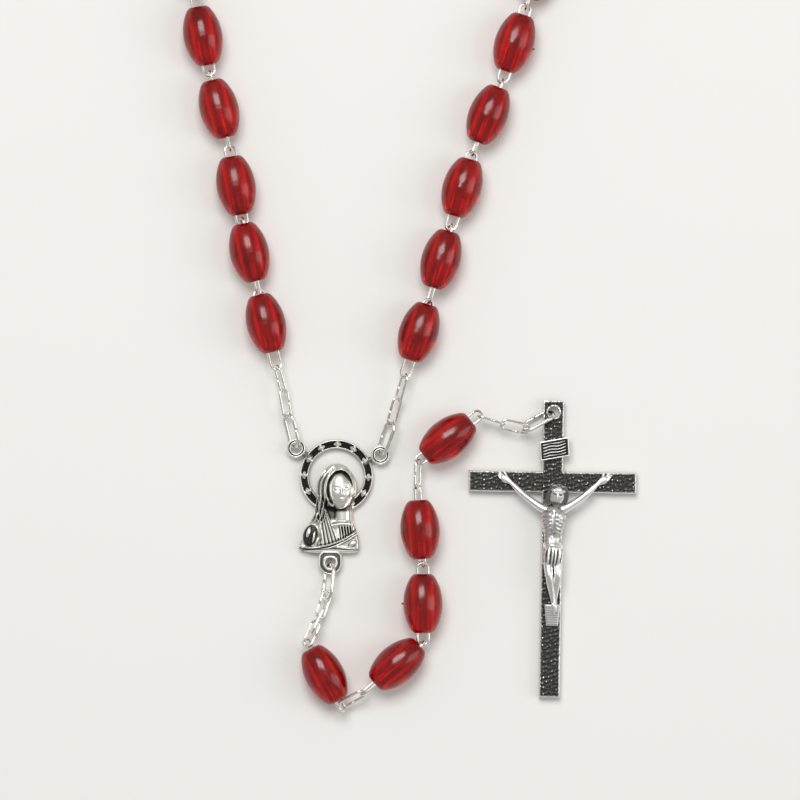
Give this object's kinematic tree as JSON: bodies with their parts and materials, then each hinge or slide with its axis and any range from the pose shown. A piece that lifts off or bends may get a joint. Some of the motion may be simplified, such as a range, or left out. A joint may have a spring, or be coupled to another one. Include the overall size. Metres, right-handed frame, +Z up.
{
  "type": "rosary",
  "caption": "Rosary of red barrel beads on wire links, with a haloed centre medal and a small crucifix, laid flat.",
  "frame": {"origin": "the middle of the centre medal's flat back, on the table", "axes": "+Z up from the table, +Y up the medal's figure towards the top of the loop, +X to the right"},
  "size_m": [0.1319, 0.3436, 0.006],
  "materials": {
    "bead_acrylic": "clear ruby red acrylic, moulded",
    "bead_run": "clear ruby red acrylic beads on silver-plated wire",
    "chain_wire": "bright silver plate",
    "medal_alloy": "antiqued silver plate, polished on the high points",
    "cross_alloy": "dark oxidised plate with worn bright edges",
    "corpus_alloy": "bright silver plate"
  },
  "bodies": {
    "medal": {"centre_medal": "medal_alloy"},
    "crucifix": {"cross": "cross_alloy", "corpus": "corpus_alloy"},
    "jump_ring_left": {"jump_ring_left": "chain_wire"},
    "link_left_1": {"link_left_1": "chain_wire"},
    "link_left_2": {"link_left_2": "chain_wire"},
    "wire_left_1": {"wire_left_1": "chain_wire"},
    "bead_left_1": {"bead_left_1": "bead_acrylic"},
    "wire_left_2": {"wire_left_2": "chain_wire"},
    "bead_left_2": {"bead_left_2": "bead_acrylic"},
    "wire_left_3": {"wire_left_3": "chain_wire"},
    "bead_left_3": {"bead_left_3": "bead_acrylic"},
    "wire_left_4": {"wire_left_4": "chain_wire"},
    "bead_left_4": {"bead_left_4": "bead_acrylic"},
    "wire_left_5": {"wire_left_5": "chain_wire"},
    "bead_left_5": {"bead_left_5": "bead_acrylic"},
    "half_decade_left_1": {"half_decade_left_1": "bead_run"},
    "our_father_left_2": {"our_father_left_2": "bead_run"},
    "half_decade_left_3": {"half_decade_left_3": "bead_run"},
    "half_decade_left_4": {"half_decade_left_4": "bead_run"},
    "our_father_left_5": {"our_father_left_5": "bead_run"},
    "half_decade_left_6": {"half_decade_left_6": "bead_run"},
    "jump_ring_right": {"jump_ring_right": "chain_wire"},
    "link_right_1": {"link_right_1": "chain_wire"},
    "link_right_2": {"link_right_2": "chain_wire"},
    "wire_right_1": {"wire_right_1": "chain_wire"},
    "bead_right_1": {"bead_right_1": "bead_acrylic"},
    "wire_right_2": {"wire_right_2": "chain_wire"},
    "bead_right_2": {"bead_right_2": "bead_acrylic"},
    "wire_right_3": {"wire_right_3": "chain_wire"},
    "bead_right_3": {"bead_right_3": "bead_acrylic"},
    "wire_right_4": {"wire_right_4": "chain_wire"},
    "bead_right_4": {"bead_right_4": "bead_acrylic"},
    "wire_right_5": {"wire_right_5": "chain_wire"},
    "bead_right_5": {"bead_right_5": "bead_acrylic"},
    "half_decade_right_1": {"half_decade_right_1": "bead_run"},
    "our_father_right_2": {"our_father_right_2": "bead_run"},
    "half_decade_right_3": {"half_decade_right_3": "bead_run"},
    "half_decade_right_4": {"half_decade_right_4": "bead_run"},
    "our_father_right_5": {"our_father_right_5": "bead_run"},
    "half_decade_right_6": {"half_decade_right_6": "bead_run"},
    "jump_ring_lower": {"jump_ring_lower": "chain_wire"},
    "link_lower_1": {"link_lower_1": "chain_wire"},
    "link_lower_2": {"link_lower_2": "chain_wire"},
    "link_lower_3": {"link_lower_3": "chain_wire"},
    "wire_pendant_1": {"wire_pendant_1": "chain_wire"},
    "bead_pendant_1": {"bead_pendant_1": "bead_acrylic"},
    "link_pendant_1": {"link_pendant_1": "chain_wire"},
    "wire_pendant_2": {"wire_pendant_2": "chain_wire"},
    "bead_pendant_2": {"bead_pendant_2": "bead_acrylic"},
    "wire_pendant_3": {"wire_pendant_3": "chain_wire"},
    "bead_pendant_3": {"bead_pendant_3": "bead_acrylic"},
    "wire_pendant_4": {"wire_pendant_4": "chain_wire"},
    "bead_pendant_4": {"bead_pendant_4": "bead_acrylic"},
    "link_pendant_2": {"link_pendant_2": "chain_wire"},
    "wire_pendant_5": {"wire_pendant_5": "chain_wire"},
    "bead_pendant_5": {"bead_pendant_5": "bead_acrylic"},
    "link_crucifix_1": {"link_crucifix_1": "chain_wire"},
    "link_crucifix_2": {"link_crucifix_2": "chain_wire"},
    "jump_ring_crucifix": {"jump_ring_crucifix": "chain_wire"}
  },
  "joints": [
    {"name": "jump_ring_left_hinge", "type": "hinge", "parent": "medal", "child": "jump_ring_left", "pos_m": [-0.00589, 0.01118, 0.00133], "axis": [-0.9703, -0.2419, 0], "range_deg": [-20, 20]},
    {"name": "link_left_1_hinge", "type": "hinge", "parent": "jump_ring_left", "child": "link_left_1", "pos_m": [-0.00689, 0.01484, 0.00173], "axis": [0.9848, 0.1736, 0], "range_deg": [-40, 40]},
    {"name": "link_left_2_hinge", "type": "hinge", "parent": "link_left_1", "child": "link_left_2", "pos_m": [-0.00759, 0.01899, 0.00248], "axis": [-0.9659, -0.2588, 0], "range_deg": [-40, 40]},
    {"name": "wire_left_1_hinge", "type": "hinge", "parent": "link_left_2", "child": "wire_left_1", "pos_m": [-0.00847, 0.02204, 0.00293], "axis": [0.972, 0.2351, 0], "range_deg": [-40, 40]},
    {"name": "bead_left_1_spin", "type": "hinge", "parent": "wire_left_1", "child": "bead_left_1", "pos_m": [-0.01016, 0.02903, 0.003], "axis": [-0.2351, 0.972, 0], "continuous": true},
    {"name": "wire_left_2_hinge", "type": "hinge", "parent": "wire_left_1", "child": "wire_left_2", "pos_m": [-0.01137, 0.03408, 0.00299], "axis": [-0.9751, -0.2215, 0], "range_deg": [-40, 40]},
    {"name": "bead_left_2_spin", "type": "hinge", "parent": "wire_left_2", "child": "bead_left_2", "pos_m": [-0.01266, 0.03978, 0.003], "axis": [-0.2215, 0.9751, 0], "continuous": true},
    {"name": "wire_left_3_hinge", "type": "hinge", "parent": "wire_left_2", "child": "wire_left_3", "pos_m": [-0.01363, 0.04376, 0.00301], "axis": [0.9854, 0.1702, 0], "range_deg": [-40, 40]},
    {"name": "bead_left_3_spin", "type": "hinge", "parent": "wire_left_3", "child": "bead_left_3", "pos_m": [-0.01469, 0.04991, 0.003], "axis": [-0.1702, 0.9854, 0], "continuous": true},
    {"name": "wire_left_4_hinge", "type": "hinge", "parent": "wire_left_3", "child": "wire_left_4", "pos_m": [-0.0158, 0.05595, 0.00301], "axis": [-0.9673, -0.2538, 0], "range_deg": [-40, 40]},
    {"name": "bead_left_4_spin", "type": "hinge", "parent": "wire_left_4", "child": "bead_left_4", "pos_m": [-0.01727, 0.06155, 0.003], "axis": [-0.2538, 0.9673, 0], "continuous": true},
    {"name": "wire_left_5_hinge", "type": "hinge", "parent": "wire_left_4", "child": "wire_left_5", "pos_m": [-0.01865, 0.06659, 0.00301], "axis": [0.9845, 0.1754, 0], "range_deg": [-40, 40]},
    {"name": "bead_left_5_spin", "type": "hinge", "parent": "wire_left_5", "child": "bead_left_5", "pos_m": [-0.01971, 0.07259, 0.003], "axis": [-0.1754, 0.9845, 0], "continuous": true},
    {"name": "half_decade_left_1_hinge", "type": "hinge", "parent": "wire_left_5", "child": "half_decade_left_1", "pos_m": [-0.02084, 0.07878, 0.003], "axis": [-0.9781, -0.2079, 0], "range_deg": [-40, 40]},
    {"name": "our_father_left_2_hinge", "type": "hinge", "parent": "half_decade_left_1", "child": "our_father_left_2", "pos_m": [-0.03288, 0.13539, 0.003], "axis": [0.9782, 0.2078, 0], "range_deg": [-40, 40]},
    {"name": "half_decade_left_3_hinge", "type": "hinge", "parent": "our_father_left_2", "child": "half_decade_left_3", "pos_m": [-0.03693, 0.15457, 0.003], "axis": [-0.9797, -0.2005, 0], "range_deg": [-40, 40]},
    {"name": "half_decade_left_4_hinge", "type": "hinge", "parent": "half_decade_left_3", "child": "half_decade_left_4", "pos_m": [-0.04599, 0.21169, 0.00301], "axis": [0.9995, 0.0308, 0], "range_deg": [-40, 40]},
    {"name": "our_father_left_5_hinge", "type": "hinge", "parent": "half_decade_left_4", "child": "our_father_left_5", "pos_m": [-0.03716, 0.26965, 0.00299], "axis": [-0.9008, 0.4342, 0], "range_deg": [-40, 40]},
    {"name": "half_decade_left_6_hinge", "type": "hinge", "parent": "our_father_left_5", "child": "half_decade_left_6", "pos_m": [-0.02777, 0.28528, 0.00301], "axis": [0.7343, -0.6788, 0], "range_deg": [-40, 40]},
    {"name": "jump_ring_right_hinge", "type": "hinge", "parent": "medal", "child": "jump_ring_right", "pos_m": [0.00753, 0.01012, 0.00133], "axis": [-0.9455, 0.3256, 0], "range_deg": [-25, 25]},
    {"name": "link_right_1_hinge", "type": "hinge", "parent": "jump_ring_right", "child": "link_right_1", "pos_m": [0.00872, 0.01372, 0.00164], "axis": [0.9636, -0.2672, 0], "range_deg": [-40, 40]},
    {"name": "link_right_2_hinge", "type": "hinge", "parent": "link_right_1", "child": "link_right_2", "pos_m": [0.00992, 0.01774, 0.00244], "axis": [-0.9588, 0.284, 0], "range_deg": [-40, 40]},
    {"name": "wire_right_1_hinge", "type": "hinge", "parent": "link_right_2", "child": "wire_right_1", "pos_m": [0.01078, 0.02085, 0.00293], "axis": [0.9521, -0.3057, 0], "range_deg": [-40, 40]},
    {"name": "bead_right_1_spin", "type": "hinge", "parent": "wire_right_1", "child": "bead_right_1", "pos_m": [0.01298, 0.0277, 0.003], "axis": [0.3057, 0.9521, 0], "continuous": true},
    {"name": "wire_right_2_hinge", "type": "hinge", "parent": "wire_right_1", "child": "wire_right_2", "pos_m": [0.01455, 0.03264, 0.00301], "axis": [-0.9593, 0.2823, 0], "range_deg": [-40, 40]},
    {"name": "bead_right_2_spin", "type": "hinge", "parent": "wire_right_2", "child": "bead_right_2", "pos_m": [0.01634, 0.03872, 0.003], "axis": [0.2823, 0.9593, 0], "continuous": true},
    {"name": "wire_right_3_hinge", "type": "hinge", "parent": "wire_right_2", "child": "wire_right_3", "pos_m": [0.01764, 0.04315, 0.003], "axis": [0.9588, -0.284, 0], "range_deg": [-40, 40]},
    {"name": "bead_right_3_spin", "type": "hinge", "parent": "wire_right_3", "child": "bead_right_3", "pos_m": [0.01956, 0.04961, 0.003], "axis": [0.284, 0.9588, 0], "continuous": true},
    {"name": "wire_right_4_hinge", "type": "hinge", "parent": "wire_right_3", "child": "wire_right_4", "pos_m": [0.02123, 0.05499, 0.00298], "axis": [-0.9272, 0.3746, 0], "range_deg": [-40, 40]},
    {"name": "bead_right_4_spin", "type": "hinge", "parent": "wire_right_4", "child": "bead_right_4", "pos_m": [0.02351, 0.06064, 0.003], "axis": [0.3746, 0.9272, 0], "continuous": true},
    {"name": "wire_right_5_hinge", "type": "hinge", "parent": "wire_right_4", "child": "wire_right_5", "pos_m": [0.02552, 0.06551, 0.00299], "axis": [0.9516, -0.3074, 0], "range_deg": [-40, 40]},
    {"name": "bead_right_5_spin", "type": "hinge", "parent": "wire_right_5", "child": "bead_right_5", "pos_m": [0.02746, 0.07153, 0.003], "axis": [0.3074, 0.9516, 0], "continuous": true},
    {"name": "half_decade_right_1_hinge", "type": "hinge", "parent": "wire_right_5", "child": "half_decade_right_1", "pos_m": [0.02934, 0.07729, 0.003], "axis": [-0.9426, 0.3338, 0], "range_deg": [-40, 40]},
    {"name": "our_father_right_2_hinge", "type": "hinge", "parent": "half_decade_right_1", "child": "our_father_right_2", "pos_m": [0.04867, 0.13185, 0.003], "axis": [0.9426, -0.3338, 0], "range_deg": [-40, 40]},
    {"name": "half_decade_right_3_hinge", "type": "hinge", "parent": "our_father_right_2", "child": "half_decade_right_3", "pos_m": [0.05521, 0.15032, 0.003], "axis": [-0.9426, 0.3338, 0], "range_deg": [-40, 40]},
    {"name": "half_decade_right_4_hinge", "type": "hinge", "parent": "half_decade_right_3", "child": "half_decade_right_4", "pos_m": [0.07363, 0.20518, 0.003], "axis": [0.9704, -0.2416, 0], "range_deg": [-40, 40]},
    {"name": "our_father_right_5_hinge", "type": "hinge", "parent": "half_decade_right_4", "child": "our_father_right_5", "pos_m": [0.0779, 0.26368, 0.00301], "axis": [-0.9727, -0.2321, 0], "range_deg": [-40, 40]},
    {"name": "half_decade_right_6_hinge", "type": "hinge", "parent": "our_father_right_5", "child": "half_decade_right_6", "pos_m": [0.07186, 0.28088, 0.00299], "axis": [0.8395, 0.5434, 0], "range_deg": [-40, 40]},
    {"name": "jump_ring_lower_hinge", "type": "hinge", "parent": "medal", "child": "jump_ring_lower", "pos_m": [-0.00055, -0.00838, 0.00133], "axis": [0.9945, -0.1045, 0], "range_deg": [-30, 25]},
    {"name": "link_lower_1_hinge", "type": "hinge", "parent": "jump_ring_lower", "child": "link_lower_1", "pos_m": [-0.00076, -0.01158, 0.00138], "axis": [-0.9472, 0.3206, 0], "range_deg": [-25, 25]},
    {"name": "link_lower_2_hinge", "type": "hinge", "parent": "link_lower_1", "child": "link_lower_2", "pos_m": [-0.00208, -0.01552, 0.0024], "axis": [0.9011, -0.4337, 0], "range_deg": [-40, 40]},
    {"name": "link_lower_3_hinge", "type": "hinge", "parent": "link_lower_2", "child": "link_lower_3", "pos_m": [-0.00239, -0.01606, 0.00242], "axis": [-0.9107, 0.4131, 0], "range_deg": [-40, 40]},
    {"name": "wire_pendant_1_hinge", "type": "hinge", "parent": "link_lower_3", "child": "wire_pendant_1", "pos_m": [-0.0036, -0.01987, 0.00324], "axis": [0.8821, 0.471, 0], "range_deg": [-12, 40]},
    {"name": "bead_pendant_1_spin", "type": "hinge", "parent": "wire_pendant_1", "child": "bead_pendant_1", "pos_m": [-0.00128, -0.02421, 0.003], "axis": [0.471, -0.8821, 0], "continuous": true},
    {"name": "link_pendant_1_hinge", "type": "hinge", "parent": "wire_pendant_1", "child": "link_pendant_1", "pos_m": [0.00105, -0.02897, 0.00217], "axis": [0.5, -0.866, 0], "range_deg": [-10, 15]},
    {"name": "wire_pendant_2_hinge", "type": "hinge", "parent": "link_pendant_1", "child": "wire_pendant_2", "pos_m": [0.00468, -0.02687, 0.003], "axis": [-0.6494, 0.7604, 0], "range_deg": [-40, 40]},
    {"name": "bead_pendant_2_spin", "type": "hinge", "parent": "wire_pendant_2", "child": "bead_pendant_2", "pos_m": [0.00969, -0.0226, 0.003], "axis": [0.7604, 0.6494, 0], "continuous": true},
    {"name": "wire_pendant_3_hinge", "type": "hinge", "parent": "wire_pendant_2", "child": "wire_pendant_3", "pos_m": [0.01364, -0.01965, 0.00275], "axis": [1, 0.0052, 0], "range_deg": [-40, 40]},
    {"name": "bead_pendant_3_spin", "type": "hinge", "parent": "wire_pendant_3", "child": "bead_pendant_3", "pos_m": [0.01361, -0.01342, 0.003], "axis": [-0.0052, 1, 0], "continuous": true},
    {"name": "wire_pendant_4_hinge", "type": "hinge", "parent": "wire_pendant_3", "child": "wire_pendant_4", "pos_m": [0.01353, -0.00727, 0.003], "axis": [-0.9978, -0.0663, 0], "range_deg": [-40, 40]},
    {"name": "bead_pendant_4_spin", "type": "hinge", "parent": "wire_pendant_4", "child": "bead_pendant_4", "pos_m": [0.01319, -0.0022, 0.003], "axis": [-0.0663, 0.9978, 0], "continuous": true},
    {"name": "link_pendant_2_hinge", "type": "hinge", "parent": "wire_pendant_4", "child": "link_pendant_2", "pos_m": [0.01274, 0.00406, 0.00304], "axis": [0.9995, -0.0332, 0], "range_deg": [-30, 30]},
    {"name": "wire_pendant_5_hinge", "type": "hinge", "parent": "link_pendant_2", "child": "wire_pendant_5", "pos_m": [0.01267, 0.00792, 0.00266], "axis": [-0.6143, 0.7891, 0], "range_deg": [-40, 40]},
    {"name": "bead_pendant_5_spin", "type": "hinge", "parent": "wire_pendant_5", "child": "bead_pendant_5", "pos_m": [0.01736, 0.01157, 0.003], "axis": [0.7891, 0.6143, 0], "continuous": true},
    {"name": "link_crucifix_1_hinge", "type": "hinge", "parent": "wire_pendant_5", "child": "link_crucifix_1", "pos_m": [0.02253, 0.01487, 0.00332], "axis": [-0.3074, -0.9516, 0], "range_deg": [-40, 40]},
    {"name": "link_crucifix_2_hinge", "type": "hinge", "parent": "link_crucifix_1", "child": "link_crucifix_2", "pos_m": [0.02555, 0.01383, 0.00275], "axis": [0.2079, 0.9781, 0], "range_deg": [-40, 40]},
    {"name": "jump_ring_crucifix_hinge", "type": "hinge", "parent": "link_crucifix_2", "child": "jump_ring_crucifix", "pos_m": [0.02961, 0.01346, 0.00216], "axis": [0.4848, -0.8746, 0], "range_deg": [-35, 25]},
    {"name": "crucifix_swing", "type": "hinge", "parent": "jump_ring_crucifix", "child": "crucifix", "pos_m": [0.03346, 0.01559, 0.00137], "axis": [0, 0, 1], "range_deg": [-8, 60]}
  ]
}
